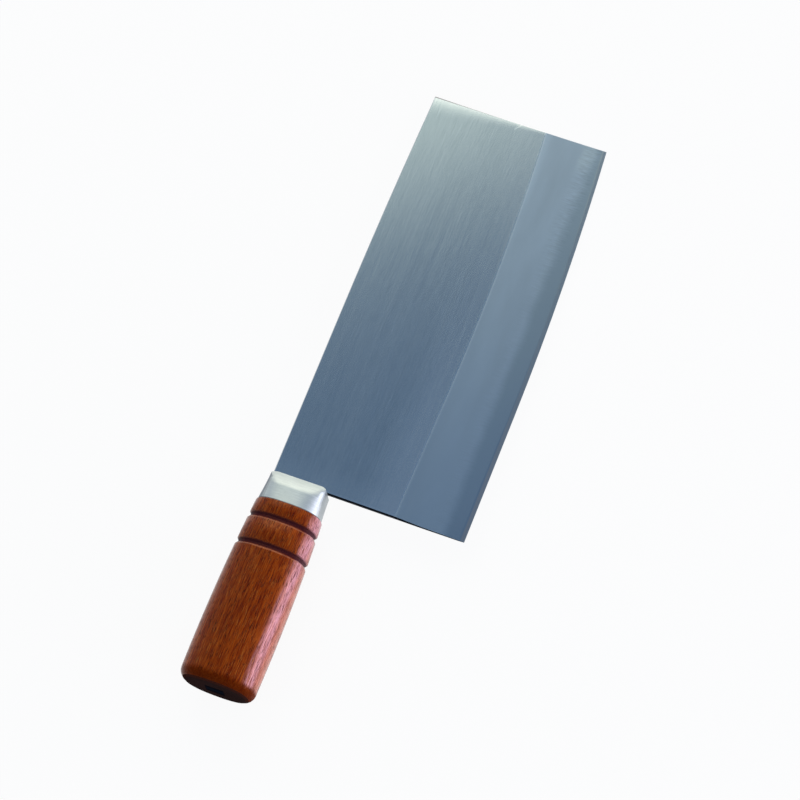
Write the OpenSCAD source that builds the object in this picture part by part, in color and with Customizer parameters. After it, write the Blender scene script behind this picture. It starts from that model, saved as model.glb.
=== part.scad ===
// Broad kitchen cleaver with a clad blade, a drawn ferrule and a wooden grip.
// Each piece is drawn in the knife's own frame: X runs from the heel of the blade to its toe,
// Y from the edge to the spine, and Z out of the right side of the blade. The knife is then
// laid down as it rests on a table, on its grip and on two points of the toe.

/* [Blade] */
// Length of the blade along the spine
blade_len = 220; // [180:1:240]
// Height of the blade from spine to edge at the heel
blade_h = 102.5; // [95:0.5:115]
// How far the spine falls towards the edge at the toe
spine_drop = 2.2; // [1:0.1:4]
// Where that fall starts, from the heel
spine_straight = 90; // [60:1:120]
// How far the edge rises towards the spine at the toe
belly_drop = 6.4; // [3:0.1:9]
// Where the belly of the edge starts, from the heel
belly_start = 70; // [50:1:110]
// Hollow of the toe's end, between the spine and the edge
toe_dish = 0.5; // [0.2:0.1:2]
// How far the heel's lower corner stands behind its upper one
heel_lean = 0.8; // [0:0.1:2]

/* [Grind] */
// Thickness of the spine at the heel
spine_t = 3.9; // [3.6:0.05:4.4]
// How much thinner the spine is at the toe
spine_taper = 0.7; // [0.4:0.05:0.9]
// Fall of each flat side towards the edge, per mm
flat_fall = 0.005; // [0.003:0.0005:0.007]
// Rise of the ground bevel from the edge, per mm on each side
bevel_rise = 0.033; // [0.030:0.001:0.036]
// Half thickness at the root of the bevel, at the heel
bevel_root = 0.40; // [0.3:0.01:0.5]
// How much less that half thickness is at the toe
bevel_taper = 0.20; // [0.1:0.01:0.25]
// Rise of the honed bevel at the very edge, per mm on each side
hone_rise = 0.15; // [0.12:0.01:0.2]
// Half thickness of the hard core at the heel
core_half = 0.78; // [0.7:0.01:0.9]
// How much thinner each half of the core is at the toe
core_taper = 0.14; // [0:0.01:0.2]
// Width of the eased corners of the spine and the heel
ease = 0.4; // [0.2:0.1:0.6]

/* [Tang] */
// Height of the tang where it leaves the heel
tang_root = 23; // [18:0.5:24]
// Height of the tang along the grip
tang_mid = 13; // [10:0.5:16]
// Height of the tang at the butt of the grip
tang_tip = 9; // [6:0.5:10]
// Thickness of the tang
tang_t = 3.6; // [3:0.1:4]

/* [Ferrule] */
// How far the ferrule's front wall reaches over the heel
ferrule_front = 1.2; // [0.8:0.1:1.5]
// How far the ferrule reaches back along the grip
ferrule_back = 15; // [13:0.5:18]
// Half width of the ferrule near its front
ferrule_a = 15.4; // [14.5:0.1:15.8]
// Half thickness of the ferrule near its front
ferrule_b = 11.6; // [11:0.1:12.2]
// Half height of the ferrule's narrow front face
front_half = 5.6; // [4.5:0.1:7]
// Slope of the two facets behind the front face
facet_angle = 43; // [38:1:50]
// Radius of the ferrule's front corners
corner_r = 4; // [2:0.5:5]
// How far the ferrule's front stands towards the edge
ferrule_shift = 0.2; // [0:0.1:0.8]
// Thickness of the ferrule's sheet
ferrule_wall = 1.2; // [0.8:0.1:1.6]
// Depth of the rebate in each side of the heel that seats the ferrule
heel_seat = 0.1; // [0.05:0.05:0.3]

/* [Grip] */
// Distance from the heel to the butt of the grip
grip_end = 113; // [105:1:125]
// Distance of the grip's middle line from the spine
grip_drop = 14.8; // [13:0.1:16]
// Half width of the grip at its fullest
grip_a = 19.8; // [18:0.1:21]
// Half thickness of the grip at its fullest
grip_b = 15.9; // [14.5:0.1:17]
// How much slimmer each half is at the ferrule
grip_waist = 2.3; // [2:0.1:3.2]
// Squareness of the grip's oval, where 2 is an ellipse
grip_square = 2.35; // [2:0.05:3]
// Depth of the two turned grooves
groove_depth = 1.3; // [0.8:0.1:1.6]
// Reach of a groove from its deepest line towards the ferrule, where it is steep
groove_half = 1.5; // [1:0.1:2]
// Reach of a groove towards the butt, where it slopes out more gently
groove_tail = 2.2; // [1.5:0.1:2.6]
// Rounding of the butt
butt_r = 5; // [3:0.5:7]

/* [Hidden] */
$fn = 48;

// Where things stand along the grip
grip_front = -ferrule_back;
butt_x = -grip_end;
full_x = -87;
groove_1 = -23.6;
groove_2 = -38.5;

// The tang keeps its full height to the first of these and narrows to the second
tang_neck = -8;
tang_waist = -26;

// Stations along the outline
spine_steps = 6;
belly_steps = 8;
toe_steps = 6;
body_steps = 6;
edge_half = 0.04;
far = 400;

// Points round each oval section, and the ferrule's squareness at its front and its back
ring_points = 48;
front_square = 3.4;
back_square = 2.5;
ferrule_steps = 4;

// Small set-backs: grip under ferrule, grip's eased end, plain wood beside a groove, seat's play
proud = 0.65;
end_ease = 0.5;
end_drop = 0.2;
groove_rim = 3;
seat_play = 0.05;
groove_curve = 0.8;

toe_x = blade_len;
spine_half = spine_t / 2;

function sq(v) = v * v;
function spine_y(x) = x < spine_straight ? 0
    : -spine_drop * sq((x - spine_straight) / (toe_x - spine_straight));
function edge_y(x) = x < belly_start ? -blade_h
    : -blade_h + belly_drop * sq((x - belly_start) / (toe_x - belly_start));
function heel_x(y) = heel_lean * y / blade_h;

// The toe is a shallow hollow between its two corners
toe_top = spine_y(toe_x);
toe_low = edge_y(toe_x);
function toe_edge_x(y) = toe_x
    - toe_dish * (1 - sq((2 * y - toe_top - toe_low) / (toe_top - toe_low)));

spine_x = [for (i = [0 : spine_steps]) spine_straight + (toe_x - spine_straight) * i / spine_steps];
belly_x = [for (i = [0 : belly_steps]) belly_start + (toe_x - belly_start) * i / belly_steps];
spine_run = concat([[0, 0]], [for (x = spine_x) [x, spine_y(x)]]);
edge_run = concat([[-heel_lean, -blade_h]], [for (x = belly_x) [x, edge_y(x)]]);
toe_run = [for (i = [1 : toe_steps - 1])
    let (y = toe_top + (toe_low - toe_top) * i / toe_steps) [toe_edge_x(y), y]];

function reversed(list) = [for (i = [len(list) - 1 : -1 : 0]) list[i]];
outline = concat(reversed(spine_run), edge_run, reversed(toe_run));

// Everything above a plane through point p. The plane's level line is turned by the given
// angle, the plane rises to the left of it, and it also rises by the second slope along it.
module above(p, turned, rise, along = 0)
    translate(p)
        rotate([0, 0, turned])
            rotate([atan(rise * cos(atan(along))), -atan(along), 0])
                translate([-far, -far, 0])
                    cube([2 * far, 2 * far, far / 8]);

function heading(p, q) = atan2(q[1] - p[1], q[0] - p[0]);
function on_level(p, z) = [p[0], p[1], z];

// Above the flat side, which thins towards the toe and towards the edge
module above_flat(sunk = 0)
    above([0, 0, spine_half - sunk], 0, flat_fall, -spine_taper / 2 / blade_len);

// Above the rebate that takes the ferrule's front
module above_seat()
    intersection() {
        above_flat(heel_seat);
        translate([0, -grip_drop - ferrule_shift, 0])
            linear_extrude(height = spine_t)
                ferrule_plan(ferrule_front + seat_play, ferrule_a + seat_play);
    }

// Above the ground bevel, one plane for each run of the edge
module above_bevel()
    for (i = [0 : len(edge_run) - 2])
        above(on_level(edge_run[i], bevel_root - bevel_taper * edge_run[i][0] / blade_len),
            heading(edge_run[i], edge_run[i + 1]), bevel_rise, -bevel_taper / blade_len);

// Above the honed bevel at the very edge
module above_hone()
    for (i = [0 : len(edge_run) - 2])
        above(on_level(edge_run[i], edge_half), heading(edge_run[i], edge_run[i + 1]), hone_rise);

// Above the eased corners of the spine and the heel
module above_ease() {
    for (i = [0 : len(spine_run) - 2])
        above(on_level(spine_run[i], spine_half - ease - spine_taper / 2 * spine_run[i][0] / blade_len),
            heading(spine_run[i + 1], spine_run[i]), 1, spine_taper / 2 / blade_len);
    above([0, 0, spine_half - ease], heading([0, 0], edge_run[0]), 1, -flat_fall);
}

module above_core()
    above([0, 0, core_half], 0, 0, -core_taper / blade_len);

module blank(half)
    linear_extrude(height = 2 * half, center = true)
        polygon(outline);

module both_sides() {
    children();
    mirror([0, 0, 1])
        children();
}

// Hard steel in the middle, bare along the edge
module core_in_knife()
    difference() {
        blank(core_half);
        both_sides() {
            above_core();
            above_bevel();
            above_hone();
        }
    }

// Softer steel on the side that looks along +Z
module cladding_in_knife()
    difference() {
        intersection() {
            blank(spine_half);
            above_core();
        }
        above_flat();
        above_bevel();
        above_ease();
        above_seat();
    }

// Section of the grip and ferrule: an oval that a larger exponent makes squarer
function oval(x, a, b, e, shift = 0) = [for (i = [0 : ring_points - 1])
    let (t = 360 * i / ring_points)
    [x, -grip_drop - shift + a * sign(cos(t)) * pow(abs(cos(t)), 2 / e),
        b * sign(sin(t)) * pow(abs(sin(t)), 2 / e)]];

// Solid skinned over a row of such sections, from the butt towards the blade
module skin(rings) {
    n = ring_points;
    sides = [for (k = [0 : len(rings) - 2], i = [0 : n - 1])
        let (j = (i + 1) % n, low = k * n, high = (k + 1) * n)
        each [[low + i, high + i, high + j], [low + i, high + j, low + j]]];
    first = [[for (i = [0 : n - 1]) i]];
    last = [[for (i = [n - 1 : -1 : 0]) (len(rings) - 1) * n + i]];
    polyhedron(points = [for (ring = rings) each ring], faces = concat(sides, first, last));
}

// Fullness of the grip along its length
function fullness(x) = -grip_waist * sq((x - full_x) / (grip_front - full_x));
function in_groove(x, c) =
    pow(max(0, 1 - abs(x - c) / (x < c ? groove_tail : groove_half)), groove_curve);
function cut(x) = groove_depth * (in_groove(x, groove_1) + in_groove(x, groove_2));
function butt_turn(x) = butt_r * (1 - sqrt(1 - sq(max(0, (body_start - x) / butt_r))));
function grip_inset(x) = cut(x) + butt_turn(x) - fullness(x);

groove_steps = [0.4, 0.8, 1];
groove_rows = concat([for (s = reversed(groove_steps)) -s * groove_tail], [0],
    [for (s = groove_steps) s * groove_half]);
butt_rows = [for (t = [90 : -18 : 0]) butt_x + butt_r * (1 - sin(t))];
body_start = butt_x + butt_r;
body_end = groove_2 - groove_rim;
body_rows = [for (i = [1 : body_steps]) body_start + (body_end - body_start) * i / body_steps];
grip_rows = concat(butt_rows, body_rows,
    [for (d = groove_rows) groove_2 + d], [(groove_1 + groove_2) / 2],
    [for (d = groove_rows) groove_1 + d], [grip_front - groove_rim, grip_front - end_ease]);
function grip_oval(x, drop) =
    oval(x, grip_a - grip_inset(x) - drop, grip_b - grip_inset(x) - drop, grip_square);

module grip_skin()
    skin(concat([for (x = grip_rows) grip_oval(x, 0)], [grip_oval(grip_front, end_drop)]));

// Form of the ferrule, or of the space inside it when inset by the thickness of its sheet
ferrule_a_back = grip_a - grip_waist - proud;
ferrule_b_back = grip_b - grip_waist - proud;
function ferrule_ring(x, t, inset) = oval(x,
    ferrule_a_back + (ferrule_a - ferrule_a_back) * t - inset,
    ferrule_b_back + (ferrule_b - ferrule_b_back) * t - inset,
    back_square + (front_square - back_square) * t,
    ferrule_shift * t);

module ferrule_form(inset) {
    front = ferrule_front - inset;
    side = ferrule_a - inset;
    intersection() {
        skin([for (i = [0 : ferrule_steps])
            let (t = i / ferrule_steps)
            ferrule_ring(grip_front + (front - grip_front) * t, sin(90 * t), inset)]);
        union() {
            translate([grip_front - 1, -grip_drop - 2 * side, -front_half + inset / 2])
                cube([front - grip_front + 1, 4 * side, 2 * front_half - inset]);
            both_sides()
                translate([front, -grip_drop - 2 * side, front_half - inset / 2])
                    rotate([0, facet_angle, 0])
                        translate([-far / 8, 0, -far / 8])
                            cube([far / 8, 4 * side, far / 8]);
        }
        translate([0, -grip_drop - ferrule_shift, 0])
            linear_extrude(height = 4 * ferrule_b, center = true)
                ferrule_plan(front, side);
    }
}

// Plan of the ferrule's front, with its two corners rounded
module ferrule_plan(front, side) {
    translate([grip_front - 2, -2 * side])
        square([front - corner_r - grip_front + 2, 4 * side]);
    translate([grip_front, corner_r - side])
        square([front - grip_front, 2 * side - 2 * corner_r]);
    for (s = [-1, 1])
        translate([front - corner_r, s * (side - corner_r)])
            circle(corner_r);
}

module tang_in_knife()
    linear_extrude(height = tang_t, center = true)
        polygon([[heel_x(-grip_drop + tang_root / 2), -grip_drop + tang_root / 2],
            [tang_neck, -grip_drop + tang_root / 2],
            [tang_waist, -grip_drop + tang_mid / 2],
            [butt_x, -grip_drop + tang_tip / 2],
            [butt_x, -grip_drop - tang_tip / 2],
            [tang_waist, -grip_drop - tang_mid / 2],
            [tang_neck, -grip_drop - tang_root / 2],
            [heel_x(-grip_drop - tang_root / 2), -grip_drop - tang_root / 2]]);

// The heel as thin as its rebates make it, which is the slot that it needs
module heel_slot()
    difference() {
        blank(spine_half);
        both_sides()
            above_flat(heel_seat);
    }

module ferrule_in_knife()
    difference() {
        ferrule_form(0);
        ferrule_form(ferrule_wall);
        heel_slot();
        tang_in_knife();
    }

module grip_in_knife()
    difference() {
        union() {
            grip_skin();
            ferrule_form(ferrule_wall);
        }
        heel_slot();
        tang_in_knife();
    }

// The plane that the knife rests on goes through three points of its left side: one under the
// grip, one where the bevel starts on the toe, and one where the honed bevel meets the toe
rest_x = groove_2 + groove_half;
function flat_z(x, y) = spine_half - spine_taper / 2 * x / blade_len + flat_fall * y;
root_toe = bevel_root - bevel_taper;
hone_w = (root_toe - edge_half) / (hone_rise - bevel_rise);
bevel_w = (flat_z(toe_x, toe_low) - root_toe) / (bevel_rise - flat_fall);
rest_grip = [rest_x, -grip_drop, -grip_b + grip_inset(rest_x)];
rest_bevel = [toe_edge_x(toe_low + bevel_w), toe_low + bevel_w, -root_toe - bevel_rise * bevel_w];
rest_hone = [toe_x, toe_low + hone_w, -root_toe - bevel_rise * hone_w];
rest_cross = cross(rest_hone - rest_grip, rest_bevel - rest_grip);
rest_normal = rest_cross / norm(rest_cross);
rest_roll = atan2(rest_normal[1], rest_normal[2]);
rest_pitch = asin(rest_normal[0]);
rest_depth = rest_normal * rest_grip;

// Middle of the resting knife's plan, where the butt's lower corner leans out a little
butt_lean = (grip_b - butt_r) * sin(rest_pitch);
mid_x = (toe_x + butt_x + butt_lean) / 2;
mid_y = (-blade_h + grip_a - grip_drop) / 2;

module lay_down()
    translate([-mid_x, -mid_y, -rest_depth])
        rotate([0, -rest_pitch, 0])
            rotate([rest_roll, 0, 0])
                children();

module core_steel()
    color("#8d9599")
        lay_down()
            core_in_knife();

module right_cladding()
    color("#7d8f99")
        lay_down()
            cladding_in_knife();

module left_cladding()
    color("#74858f")
        lay_down()
            mirror([0, 0, 1])
                cladding_in_knife();

module tang()
    color("#4b4f54")
        lay_down()
            tang_in_knife();

module ferrule()
    color("#c9d0cf")
        lay_down()
            ferrule_in_knife();

module grip()
    color("#8f4a22")
        lay_down()
            grip_in_knife();

core_steel();
right_cladding();
left_cladding();
tang();
ferrule();
grip();
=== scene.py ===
from math import radians

import bpy
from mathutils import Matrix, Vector


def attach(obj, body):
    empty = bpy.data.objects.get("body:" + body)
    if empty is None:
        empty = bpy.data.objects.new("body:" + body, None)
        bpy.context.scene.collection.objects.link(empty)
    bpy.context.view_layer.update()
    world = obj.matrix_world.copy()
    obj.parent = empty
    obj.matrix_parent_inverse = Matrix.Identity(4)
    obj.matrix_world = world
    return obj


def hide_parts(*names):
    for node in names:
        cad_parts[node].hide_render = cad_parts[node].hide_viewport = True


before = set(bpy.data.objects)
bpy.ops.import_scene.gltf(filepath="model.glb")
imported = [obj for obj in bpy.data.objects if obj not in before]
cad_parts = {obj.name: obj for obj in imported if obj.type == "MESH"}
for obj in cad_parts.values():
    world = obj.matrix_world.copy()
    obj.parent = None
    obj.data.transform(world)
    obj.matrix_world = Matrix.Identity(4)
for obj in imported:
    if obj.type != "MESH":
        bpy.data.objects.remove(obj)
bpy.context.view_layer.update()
print("frame loaded:", sorted(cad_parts))

# The knife lies on its grip and its toe, so it is rolled and pitched a little.
# Every pattern is drawn in the knife's own millimetres: x from the heel to the toe, y from
# the edge up to 0 at the spine's heel end, and z out of the right side from the middle plane.
knife = {
    "place": (-0.0532467, 0.0487500, 0.0135255),
    "roll": radians(1.85158),
    "pitch": radians(2.66343),
    "bladeLength": 220.0,
    "heelHeight": 102.5,
    "bellyStart": 70.0,
    "bellyRise": 6.4,
    "buttEnd": -113.0,
    "grooves": (-23.6, -38.5),
}


class Wire:
    # an output of a node, which can be written in sums
    def __init__(self, board, socket):
        self.board = board
        self.socket = socket

    def maths(self, operation, *values):
        return self.board.add("ShaderNodeMath", {"operation": operation}, dict(enumerate(values)))

    def __add__(self, other):
        return self.maths("ADD", self, other)

    def __sub__(self, other):
        return self.maths("SUBTRACT", self, other)

    def __rsub__(self, other):
        return self.maths("SUBTRACT", other, self)

    def __mul__(self, other):
        return self.maths("MULTIPLY", self, other)

    def __truediv__(self, other):
        return self.maths("DIVIDE", self, other)

    __radd__ = __add__
    __rmul__ = __mul__

    def size(self):
        return self.maths("ABSOLUTE", self)

    def atLeast(self, other):
        return self.maths("MAXIMUM", self, other)

    def fade(self, low, high):
        # 0 at low, 1 at high and a soft step between them, also when low is the higher one
        values = {0: self, 1: low, 2: high}
        if low > high:
            values = {0: self, 1: high, 2: low, 3: 1.0, 4: 0.0}
        return self.board.add("ShaderNodeMapRange", {"interpolation_type": "SMOOTHSTEP"}, values)


class Board:
    # a node tree, to which nodes are added one by one
    def __init__(self, tree):
        self.tree = tree

    def add(self, kind, settings, values, output=0):
        node = self.tree.nodes.new(kind)
        for setting, value in settings.items():
            if setting == "stops":
                while len(node.color_ramp.elements) < len(value):
                    node.color_ramp.elements.new(0.5)
                for element, (position, colour) in zip(node.color_ramp.elements, value):
                    element.position = position
                    element.color = (*colour, 1.0)
            else:
                setattr(node, setting, value)
        for key, value in values.items():
            if isinstance(value, Wire):
                self.tree.links.new(value.socket, node.inputs[key])
            else:
                node.inputs[key].default_value = value
        return Wire(self, node.outputs[output])

    def feed(self, wire, nodeName, socketName):
        self.tree.links.new(wire.socket, self.tree.nodes[nodeName].inputs[socketName])


class Paint(Board):
    # a material on the knife's own coordinates
    def __init__(self, name, **constants):
        self.material = bpy.data.materials.new(name)
        self.material.use_nodes = True
        super().__init__(self.material.node_tree)
        shader = self.tree.nodes["Principled BSDF"]
        for socketName, value in constants.items():
            shader.inputs[socketName.replace("_", " ")].default_value = value
        place = self.add("ShaderNodeTexCoord", {}, {}, "Object")
        turn = (knife["roll"], knife["pitch"], 0.0)
        values = {0: place, 1: knife["place"], 2: turn, 3: (0.001, 0.001, 0.001)}
        self.spot = self.add("ShaderNodeMapping", {"vector_type": "TEXTURE"}, values)
        self.x = self.add("ShaderNodeSeparateXYZ", {}, {0: self.spot}, "X")
        self.y = self.add("ShaderNodeSeparateXYZ", {}, {0: self.spot}, "Y")
        self.z = self.add("ShaderNodeSeparateXYZ", {}, {0: self.spot}, "Z")

    def facing(self, axis):
        # how far the surface faces along an axis of the room, -1 to 1
        normal = self.add("ShaderNodeNewGeometry", {}, {}, "True Normal")
        return self.add("ShaderNodeSeparateXYZ", {}, {0: normal}, axis)

    def mix(self, factor, first, second):
        first = (*first, 1.0) if isinstance(first, tuple) else first
        second = (*second, 1.0) if isinstance(second, tuple) else second
        return self.add("ShaderNodeMix", {"data_type": "RGBA"}, {0: factor, 6: first, 7: second}, 2)

    def shade(self, colour, amount):
        values = {0: colour, "Scale": amount}
        return self.add("ShaderNodeVectorMath", {"operation": "SCALE"}, values)

    def noise(self, size, detail=2.0, roughness=0.5, seed=(0.0, 0.0, 0.0)):
        # size is that of one blotch along the knife, across it and through it, in mm
        values = {0: self.spot, 1: seed, 3: size}
        at = self.add("ShaderNodeMapping", {"vector_type": "TEXTURE"}, values)
        values = {0: at, "Scale": 1.0, "Detail": detail, "Roughness": roughness}
        return self.add("ShaderNodeTexNoise", {"noise_dimensions": "3D"}, values)

    def finish(self, colour, rough, height, dry=None, **others):
        # height is a relief in millimetres, and dry is the share that has no gloss
        relief = self.add("ShaderNodeBump", {}, {"Height": height, "Distance": 0.001}, "Normal")
        wires = {"Base Color": colour, "Roughness": rough, "Normal": relief}
        for socketName, wire in others.items():
            wires[socketName.replace("_", " ")] = wire
        for socketName, wire in wires.items():
            self.feed(wire, "Principled BSDF", socketName)
        if dry:
            values = {"Base Color": colour, "Roughness": 0.9, "Specular IOR Level": 0.0}
            values["Normal"] = relief
            matt = self.add("ShaderNodeBsdfPrincipled", {}, values)
            glossy = Wire(self, self.tree.nodes["Principled BSDF"].outputs["BSDF"])
            both = self.add("ShaderNodeMixShader", {}, {0: dry, 1: glossy, 2: matt})
            self.feed(both, "Material Output", "Surface")
        return self.material


blade = {
    # colours
    "flatLight": (0.560, 0.605, 0.630),
    "flatDark": (0.440, 0.490, 0.525),
    "flatWarm": (0.700, 0.640, 0.610),
    "bevelLight": (0.465, 0.552, 0.626),
    "bevelDark": (0.408, 0.482, 0.545),
    # painted reflection: the bevel bluer towards the heel
    "bevelAtHeel": (0.378, 0.468, 0.564),
    # painted highlight along the grind line
    "grindLine": (0.800, 0.870, 0.900),
    "strip": (0.294, 0.360, 0.407),
    "stripAtHeel": (0.284, 0.364, 0.452),
    "facet": (0.348, 0.394, 0.408),
    "facetAtHeel": (0.400, 0.410, 0.425),
    "toeReflection": (0.680, 0.770, 0.740),
    # painted shade on the heel's end
    "heelShade": (0.006, 0.007, 0.010),
    # painted highlight along the arris at the heel
    "arrisHighlight": (0.80, 0.86, 0.90),
    "toeLine": (0.150, 0.120, 0.145),
    "nick": (1.0, 1.0, 1.0),
    "flatRoughness": 0.17,
    "bevelRoughness": 0.30,
    # the patterns: the size of one blotch along the blade, across it and through it, in mm
    "hairSize": (9.0, 0.22, 0.6),
    "threadSize": (9.0, 0.40, 0.8),
    "streakSize": (85.0, 1.7, 3.0),
    "cloudSize": (38.0, 14.0, 14.0),
    "hazeSize": (34.0, 9.0, 9.0),
    "waveSize": (13.0, 60.0, 60.0),
    "toothSize": (0.45, 5.0, 5.0),
    # places in mm, and a pair runs from where something fades in to where it is full
    "towardHeel": (150.0, 10.0),
    "towardToe": (120.0, 205.0),
    "grindAtHeel": -65.4465,  # height of the grind line at the heel
    "grindFall": 0.02436,  # how much lower it runs with each mm towards the toe
    "grindFollow": 1.1786,  # how much it rises with each mm that the belly rises
    "stripLine": -91.4,  # where the bare core starts
    "stripWave": 4.0,
    "facetTop": (2.4, 1.8),  # of the honed facet, above the edge
    "patchStart": (202.0, 211.0),
    "nickPlace": (217.6, -48.6),
    "rollWidth": 12.0,  # of the toe's rolled end, at the spine
    "rollReach": 75.0,  # how far below the spine the roll would end
    "rollLeast": 2.2,
    "rollSlope": 0.10,
}


def paintBlade():
    paint = Paint("bladeSteel", Specular_IOR_Level=0.0)
    x, y, z = paint.x, paint.y, paint.z
    # distances in mm from the edge and from the grind line, where the bevel starts
    belly = (x - knife["bellyStart"]).atLeast(0.0) / (knife["bladeLength"] - knife["bellyStart"])
    rise = belly * belly * knife["bellyRise"]
    fromEdge = y - (rise - knife["heelHeight"])
    grindLine = blade["grindAtHeel"] - blade["grindFall"] * x + blade["grindFollow"] * rise
    aboveGrind = y - grindLine
    onFlat = aboveGrind.fade(-0.15, 0.15)
    towardHeel = x.fade(*blade["towardHeel"])
    towardToe = x.fade(*blade["towardToe"])

    # the flat is brushed lengthwise, and the last number keeps the grain's mean at a half
    hair = paint.noise(blade["hairSize"], detail=3.0, roughness=0.65)
    thread = paint.noise(blade["threadSize"], detail=3.0, roughness=0.7, seed=(7.0, 2.0, 5.0))
    streak = paint.noise(blade["streakSize"], detail=4.0, roughness=0.6, seed=(3.0, 7.0, 1.0))
    cloud = paint.noise(blade["cloudSize"], detail=2.0, seed=(8.0, 3.0, 6.0))
    grain = hair * 1.3 + thread * 1.25 + streak * 0.3 + cloud * 0.3 - 1.075
    flat = paint.mix(grain, blade["flatDark"], blade["flatLight"])
    # it is lighter and warmer near the bevel and the ferrule
    lift = aboveGrind.fade(24.0, 1.0) * (towardHeel * 0.26 + 0.05) + x.fade(16.0, 2.0) * 0.10
    flat = paint.mix(lift, paint.shade(flat, lift * 0.9 + 1.0), blade["flatWarm"])

    # the bevel is hazy and smooth, and a painted reflection makes it bluer towards the heel and,
    # along the grind line, darker at the heel and lighter at the toe
    haze = paint.noise(blade["hazeSize"], detail=3.0, seed=(5.0, 2.0, 9.0))
    bevel = paint.mix(haze, blade["bevelDark"], blade["bevelLight"])
    bevel = paint.mix(towardHeel * 0.85, bevel, blade["bevelAtHeel"])
    darker = aboveGrind.fade(-12.0, -1.0) * towardHeel * -0.05
    lighter = aboveGrind.fade(-4.5, -0.3) * towardToe * 0.10
    bevel = paint.shade(bevel, darker + lighter + haze * 0.08 + 0.96)

    # bare core along the edge below a soft wavy line, where the stones left short marks
    wave = paint.noise(blade["waveSize"], detail=3.0, seed=(11.0, 0.0, 0.0))
    aboveStrip = y - blade["stripLine"] - (wave - 0.5) * blade["stripWave"]
    teeth = paint.noise(blade["toothSize"], detail=2.0, roughness=0.6, seed=(2.0, 9.0, 4.0))
    marks = (teeth - 0.5) * aboveStrip.fade(9.0, 3.0) * aboveStrip.fade(-5.0, 0.0)
    marks = marks * (towardToe * 0.45 + 0.20)
    # a painted reflection: a pale patch above the strip at the toe
    toeReflection = aboveStrip.fade(8.6, 5.6) * aboveStrip.fade(-3.5, 1.5) * x.fade(*blade["patchStart"])
    bevel = paint.mix(toeReflection * 0.22, bevel, blade["toeReflection"])
    strip = paint.mix(towardHeel, blade["strip"], blade["stripAtHeel"])
    facet = paint.mix(towardHeel, blade["facet"], blade["facetAtHeel"])
    strip = paint.mix(fromEdge.fade(*blade["facetTop"]), strip, facet)
    strip = paint.shade(strip, x * 0.0009 + 1.0)
    bevel = paint.mix(aboveStrip.fade(3.0, -3.0), bevel, strip)
    bevel = paint.shade(bevel, marks + 1.0)

    colour = paint.mix(onFlat, bevel, flat)
    # a painted highlight along the grind line
    line = (aboveGrind + 0.1).size().fade(1.1, 0.2)
    colour = paint.mix(line * 0.26, colour, blade["grindLine"])

    # painted shade on the heel's end, a little weaker over the core, and a painted highlight along
    # the arris beside it
    heelEnd = paint.facing("X").fade(-0.40, -0.60) * x.fade(2.0, 1.0)
    core = z.size().fade(0.30, 0.15)
    heelShaded = heelEnd * (1.0 - core * 0.15)
    # painted highlight along the arris at the heel's end
    colour = paint.mix(x.fade(1.3, 0.7) * onFlat * 0.20, colour, blade["arrisHighlight"])
    colour = paint.mix(heelShaded, colour, blade["heelShade"])
    # a dark line along the upper half of the toe
    toeLine = x.fade(219.3, 219.6) * y.fade(-44.0, -34.0)
    colour = paint.mix(toeLine * 0.8, colour, blade["toeLine"])
    # one small nick in the toe, on a slant
    nickX, nickY = blade["nickPlace"]
    toNickX, toNickY = x - nickX, y - nickY
    acrossNick = (toNickX * 0.8 + toNickY).size()
    alongNick = (toNickX - toNickY).size()
    nick = acrossNick.fade(0.55, 0.2) * alongNick.fade(3.4, 2.6)
    colour = paint.mix(nick * 0.3, colour, blade["nick"])

    rough = onFlat * (blade["flatRoughness"] - blade["bevelRoughness"]) + blade["bevelRoughness"]
    rough = rough + (streak - 0.5) * 0.05 + heelEnd * 0.35

    # the toe's end of the flat rolls off a little, most at the spine
    rollWidth = y * (blade["rollWidth"] / blade["rollReach"]) + blade["rollWidth"]
    rollWidth = rollWidth.atLeast(blade["rollLeast"])
    roll = ((x - knife["bladeLength"]) / rollWidth + 1.0).atLeast(0.0)
    rollDrop = roll * roll * roll * rollWidth * (blade["rollSlope"] / -3.0) * onFlat
    height = rollDrop + (hair - 0.5) * onFlat * 0.002 + marks * 0.01
    return paint.finish(colour, rough + roll * 0.08 * onFlat, height, Metallic=1.0 - heelShaded)


grip = {
    # colours
    "light": (0.365, 0.062, 0.003),
    "dark": (0.115, 0.003, 0.0002),
    "fleck": (0.470, 0.160, 0.030),
    "pore": (0.018, 0.005, 0.004),
    "groove": (0.042, 0.008, 0.014),
    # painted highlight on the grooves' lips
    "lipHighlight": (0.420, 0.170, 0.090),
    # painted highlight on the flank, pale above and ruddy lower down
    "flankHighlight": (0.850, 0.385, 0.420),
    "flankHighlightLow": (0.700, 0.220, 0.150),
    # the next two: end-grain stain deepened by painted shade, on the butt's rounding and on its
    # face
    "turned": (0.100, 0.0115, 0.0009),
    "butt": (0.031, 0.0150, 0.0125),
    "pitch": (0.006, 0.0055, 0.008),
    "sheen": (1.0, 0.42, 0.20, 1.0),
    "roughness": 0.23,
    # the patterns: the size of one blotch along the grip, across it and through it, in mm
    "bandSize": (90.0, 4.0, 4.0),
    "fibreSize": (20.0, 1.0, 1.0),
    "fineSize": (6.5, 0.38, 0.38),
    "fleckSize": (6.0, 0.30, 0.30),
    "poreSize": (3.4, 0.30, 0.30),
    # places in mm, and a pair runs from where something fades in to where it is full
    # where the painted highlight on the flank starts, and its ruddy lower part
    "flankHighlightStart": (-27.8, -31.8),
    "flankHighlightLowStart": (-32.2, -33.8),
    "tangMiddle": -14.8,
    "smoothAngle": 32,  # in degrees, above which an edge stays crisp
}


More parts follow.
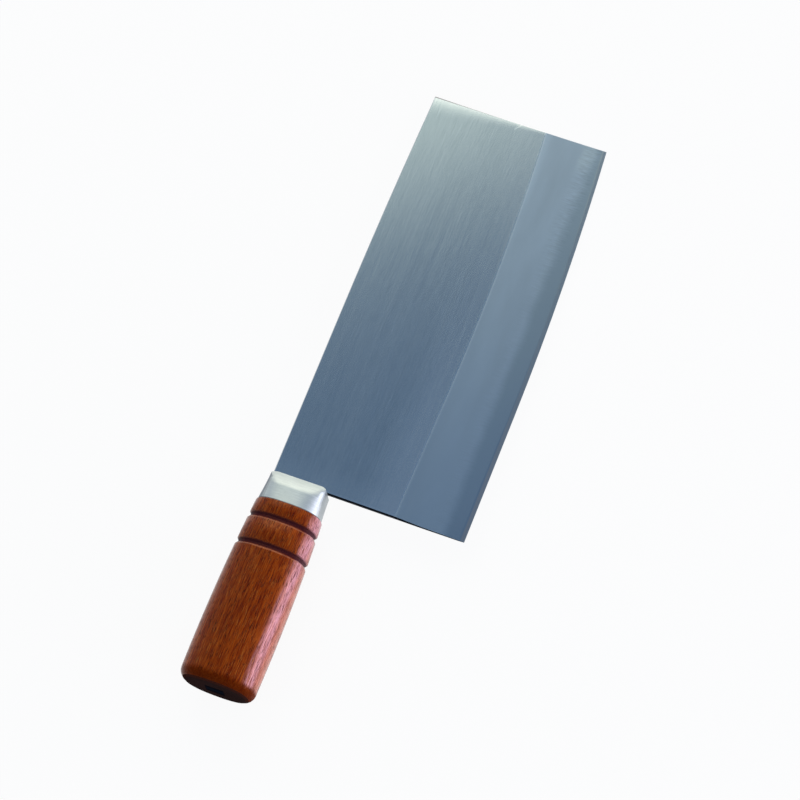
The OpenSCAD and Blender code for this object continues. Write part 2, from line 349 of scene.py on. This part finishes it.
def paintGrip():
    paint = Paint("wood", IOR=1.35, Specular_IOR_Level=0.9, Specular_Tint=grip["sheen"])
    x, y, z = paint.x, paint.y, paint.z
    buttEnd = knife["buttEnd"]
    band = paint.noise(grip["bandSize"], detail=2.0, roughness=0.5, seed=(1.0, 8.0, 2.0))
    fibre = paint.noise(grip["fibreSize"], detail=4.0, roughness=0.62)
    fine = paint.noise(grip["fineSize"], detail=2.0, roughness=0.6, seed=(2.0, 5.0, 1.0))
    tone = band * 0.5 + fibre * 1.9 + fine * 2.4 - 1.92
    colour = paint.mix(tone, grip["dark"], grip["light"])
    # painted highlight on the flank on the side of the edge, pale pink above and ruddy further down
    ragged = (fibre - 0.5) * 1.6 + x
    flankHighlightMask = ((fibre - 0.5) * 3.5 + y).fade(*grip["flankHighlightStart"]) * z.fade(-7.0, 1.0)
    flankHighlightMask = flankHighlightMask * ragged.fade(buttEnd + 4.0, buttEnd + 6.5)
    flankHighlight = paint.mix(y.fade(*grip["flankHighlightLowStart"]), grip["flankHighlight"], grip["flankHighlightLow"])
    colour = paint.mix(flankHighlightMask * (fine * 3.0 - 0.78), colour, flankHighlight)
    flecks = paint.noise(grip["fleckSize"], detail=1.0, seed=(6.0, 2.0, 8.0)).fade(0.60, 0.72)
    colour = paint.mix(flecks * 0.55, colour, grip["fleck"])
    pores = paint.noise(grip["poreSize"], detail=0.0, seed=(9.0, 1.0, 4.0)).fade(0.66, 0.74)
    colour = paint.mix(pores * 0.8, colour, grip["pore"])

    # dark turned grooves, with a painted highlight on the lip on the side of the butt
    inGroove, lipHighlight = 0.0, 0.0
    for groove in knife["grooves"]:
        inGroove = (x - (groove - 0.3)).size().fade(1.8, 0.8) + inGroove
        lipHighlight = (x - (groove - 2.2)).size().fade(0.5, 0.1) + lipHighlight
    colour = paint.mix(lipHighlight * (fibre * 0.8), colour, grip["lipHighlight"])
    colour = paint.mix(inGroove * 0.92, colour, grip["groove"])

    # end grain drinks more stain, and painted shade darkens it further, on the rounding and still
    # more on the butt's face, which faces away from the light
    rounding = ragged.fade(buttEnd + 7.0, buttEnd + 3.4)
    face = paint.facing("X").fade(-0.66, -0.97) * x.fade(buttEnd + 5.0, buttEnd + 2.0)
    colour = paint.mix(rounding * 0.75, colour, grip["turned"])
    colour = paint.mix(face, colour, grip["butt"])
    # dark pitch round the end of the tang
    pitch = (y - grip["tangMiddle"]).size().fade(5.6, 4.4)
    pitch = pitch * (z + (fine - 0.5) * 1.5).size().fade(5.0, 3.8) * face
    colour = paint.mix(pitch, colour, grip["pitch"])

    # lacquer on the sides, and bare wood on the butt, in the grooves and in the pores
    bareWood = face + rounding * y.fade(6.0, -4.0) * 0.85 + inGroove * 0.8 + pores * 0.8
    rough = (fibre - 0.5) * 0.1 + grip["roughness"]
    height = pores * -0.06 + (fine - 0.5) * 0.02 + (fibre - 0.5) * 0.02
    return paint.finish(colour, rough, height, bareWood)


ferrule = {
    "dull": (0.50, 0.54, 0.53),
    "bright": (0.74, 0.78, 0.75),
    # painted shade on the ferrule's sides
    "sideShade": (0.20, 0.23, 0.27),
    "joint": (0.05, 0.045, 0.045),
    "jointStart": (-14.35, -14.75),  # where the sheet ends and the wood starts, in mm
    "roughness": 0.45,
    # the patterns: the size of one blotch along the knife, across it and through it, in mm
    "cloudSize": (5.0, 9.0, 9.0),
    "rubSize": (0.30, 8.0, 5.0),
    "pitSize": (0.5, 0.5, 0.5),
    "smoothAngle": 28,  # in degrees, above which an edge stays crisp
}


def paintFerrule():
    paint = Paint("ferruleMetal", Metallic=1.0)
    cloud = paint.noise(ferrule["cloudSize"], detail=4.0, roughness=0.55)
    rub = paint.noise(ferrule["rubSize"], detail=3.0, roughness=0.6, seed=(1.0, 3.0, 2.0))
    pit = paint.noise(ferrule["pitSize"], detail=1.0, seed=(4.0, 4.0, 1.0))
    tone = cloud * 1.1 + rub * 1.3 - 0.7
    colour = paint.mix(tone, ferrule["dull"], ferrule["bright"])
    # painted shade on the sides, most on the side of the spine
    towardSpine = paint.facing("Y").fade(0.50, 0.85)
    towardEdge = paint.facing("Y").fade(-0.86, -0.98)
    sideShade = towardSpine * 0.95 + towardEdge * 0.4
    colour = paint.mix(sideShade, colour, ferrule["sideShade"])
    # a dark line at the wood
    joint = paint.x.fade(*ferrule["jointStart"])
    colour = paint.mix(joint * 0.85, colour, ferrule["joint"])
    rough = cloud * 0.14 + ferrule["roughness"]
    height = (rub - 0.5) * 0.008 + (pit - 0.5) * 0.006 + (cloud - 0.5) * 0.03
    return paint.finish(colour, rough, height)


tang = {
    "dark": (0.005, 0.006, 0.010),
    "light": (0.010, 0.012, 0.018),
    "roughness": 0.6,
    "mottleSize": (1.6, 1.6, 1.6),  # in mm
}


def paintTang():
    paint = Paint("forgedBar", Specular_IOR_Level=0.0)
    mottle = paint.noise(tang["mottleSize"], detail=4.0, roughness=0.6)
    colour = paint.mix(mottle, tang["dark"], tang["light"])
    return paint.finish(colour, mottle * 0.2 + tang["roughness"], mottle * 0.05)


def dress(node, material):
    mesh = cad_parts[node].data
    mesh.materials.clear()
    mesh.materials.append(material)


def weld(node, name, angle, material):
    # the CAD node's form as one welded mesh, shaded smooth across its narrow facets
    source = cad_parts[node]
    piece = bpy.data.objects.new(name, source.data.copy())
    bpy.context.scene.collection.objects.link(piece)
    bpy.ops.object.select_all(action="DESELECT")
    piece.select_set(True)
    bpy.context.view_layer.objects.active = piece
    bpy.ops.object.mode_set(mode="EDIT")
    bpy.ops.mesh.select_all(action="SELECT")
    bpy.ops.mesh.remove_doubles(threshold=0.000002)  # 2 thousandths of a mm
    bpy.ops.object.mode_set(mode="OBJECT")
    bpy.ops.object.shade_smooth_by_angle(angle=radians(angle))
    piece.data.materials.clear()
    piece.data.materials.append(material)
    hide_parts(node)
    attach(piece, "root")


bladeSteel = paintBlade()
for steelNode in ("right_cladding", "left_cladding", "core_steel"):
    dress(steelNode, bladeSteel)
dress("tang", paintTang())
print("blade and tang painted")

weld("grip", "turnedGrip", grip["smoothAngle"], paintGrip())
weld("ferrule", "drawnFerrule", ferrule["smoothAngle"], paintFerrule())
print("grip and ferrule made")


studio = {
    "floorSide": 8.0,
    "floorHeight": -0.0003,  # a hair below the knife, so that they don't share a face
    "floorColour": (0.95, 0.95, 0.95, 1.0),
    "floorGlow": 0.93,  # share of plain white that the camera and reflections see on the floor
    # colours of the sky from the horizon to straight above
    "sky": [
        (0.0, (0.45, 0.50, 0.60)),
        (0.5, (0.52, 0.58, 0.68)),
        (0.78, (0.36, 0.43, 0.52)),
        (0.90, (0.128, 0.208, 0.336)),
        (1.0, (0.135, 0.220, 0.345)),
    ],
    "skyStrength": 1.0,
    # name, power, colour, width, height and place of each soft box, which faces the knife
    "lamps": [
        ("toeBox", 2.3, (0.94, 1.0, 0.76), 0.9, 0.9, (1.15, 0.81, 1.69)),
        ("farBox", 25.5, (1.0, 0.95, 0.76), 2.4, 2.4, (2.25, 0.53, 1.25)),
        ("edgeBox", 19.5, (0.84, 0.81, 1.0), 2.6, 1.7, (0.25, -2.0, 0.45)),
        ("lowBox", 5.5, (0.84, 0.81, 1.0), 1.2, 0.26, (-0.1, -1.3, 0.13)),
    ],
    "cameraPlace": (-0.48632, -0.43161, 1.79606),
    "cameraTurn": (radians(18.8496), radians(7.3219), radians(-68.9652)),
    "lens": 171.156,
}


def layFloor():
    bpy.ops.object.select_all(action="DESELECT")
    place = (0.0, 0.0, studio["floorHeight"])
    bpy.ops.mesh.primitive_plane_add(size=studio["floorSide"], location=place)
    floor = bpy.context.object
    floor.name = "floor"
    material = bpy.data.materials.new("paleFloor")
    material.use_nodes = True
    board = Board(material.node_tree)
    values = {"Base Color": studio["floorColour"], "Roughness": 0.9}
    lit = board.add("ShaderNodeBsdfPrincipled", {}, values)
    values = {"Color": (1.0, 1.0, 1.0, 1.0), "Strength": 1.0}
    white = board.add("ShaderNodeEmission", {}, values)
    seen = board.add("ShaderNodeLightPath", {}, {}, "Is Camera Ray")
    for ray in ("Is Glossy Ray", "Is Transmission Ray"):
        seen = seen.atLeast(board.add("ShaderNodeLightPath", {}, {}, ray))
    values = {0: seen * studio["floorGlow"], 1: lit, 2: white}
    both = board.add("ShaderNodeMixShader", {}, values)
    board.feed(both, "Material Output", "Surface")
    floor.data.materials.append(material)


def hangSky():
    world = bpy.data.worlds.new("studio")
    bpy.context.scene.world = world
    world.use_nodes = True
    board = Board(world.node_tree)
    direction = board.add("ShaderNodeTexCoord", {}, {}, "Generated")
    height = board.add("ShaderNodeSeparateXYZ", {}, {0: direction}, "Z")
    sky = board.add("ShaderNodeValToRGB", {"stops": studio["sky"]}, {0: height})
    board.feed(sky, "Background", "Color")
    world.node_tree.nodes["Background"].inputs["Strength"].default_value = studio["skyStrength"]


def hangLamps():
    for name, power, colour, width, height, place in studio["lamps"]:
        light = bpy.data.lights.new(name, "AREA")
        light.shape = "RECTANGLE"
        light.size = width
        light.size_y = height
        light.energy = power
        light.color = colour
        lamp = bpy.data.objects.new(name, light)
        bpy.context.scene.collection.objects.link(lamp)
        lamp.location = place
        lamp.rotation_euler = (-Vector(place)).to_track_quat("-Z", "Y").to_euler()


def setCamera():
    lens = bpy.data.cameras.new("camera")
    lens.sensor_width = 36.0
    lens.lens = studio["lens"]
    lens.clip_end = 50.0
    camera = bpy.data.objects.new("camera", lens)
    bpy.context.scene.collection.objects.link(camera)
    camera.location = studio["cameraPlace"]
    camera.rotation_euler = studio["cameraTurn"]
    bpy.context.scene.camera = camera
    bpy.context.scene.view_settings.view_transform = "Standard"


layFloor()
hangSky()
hangLamps()
setCamera()
print("studio lit")
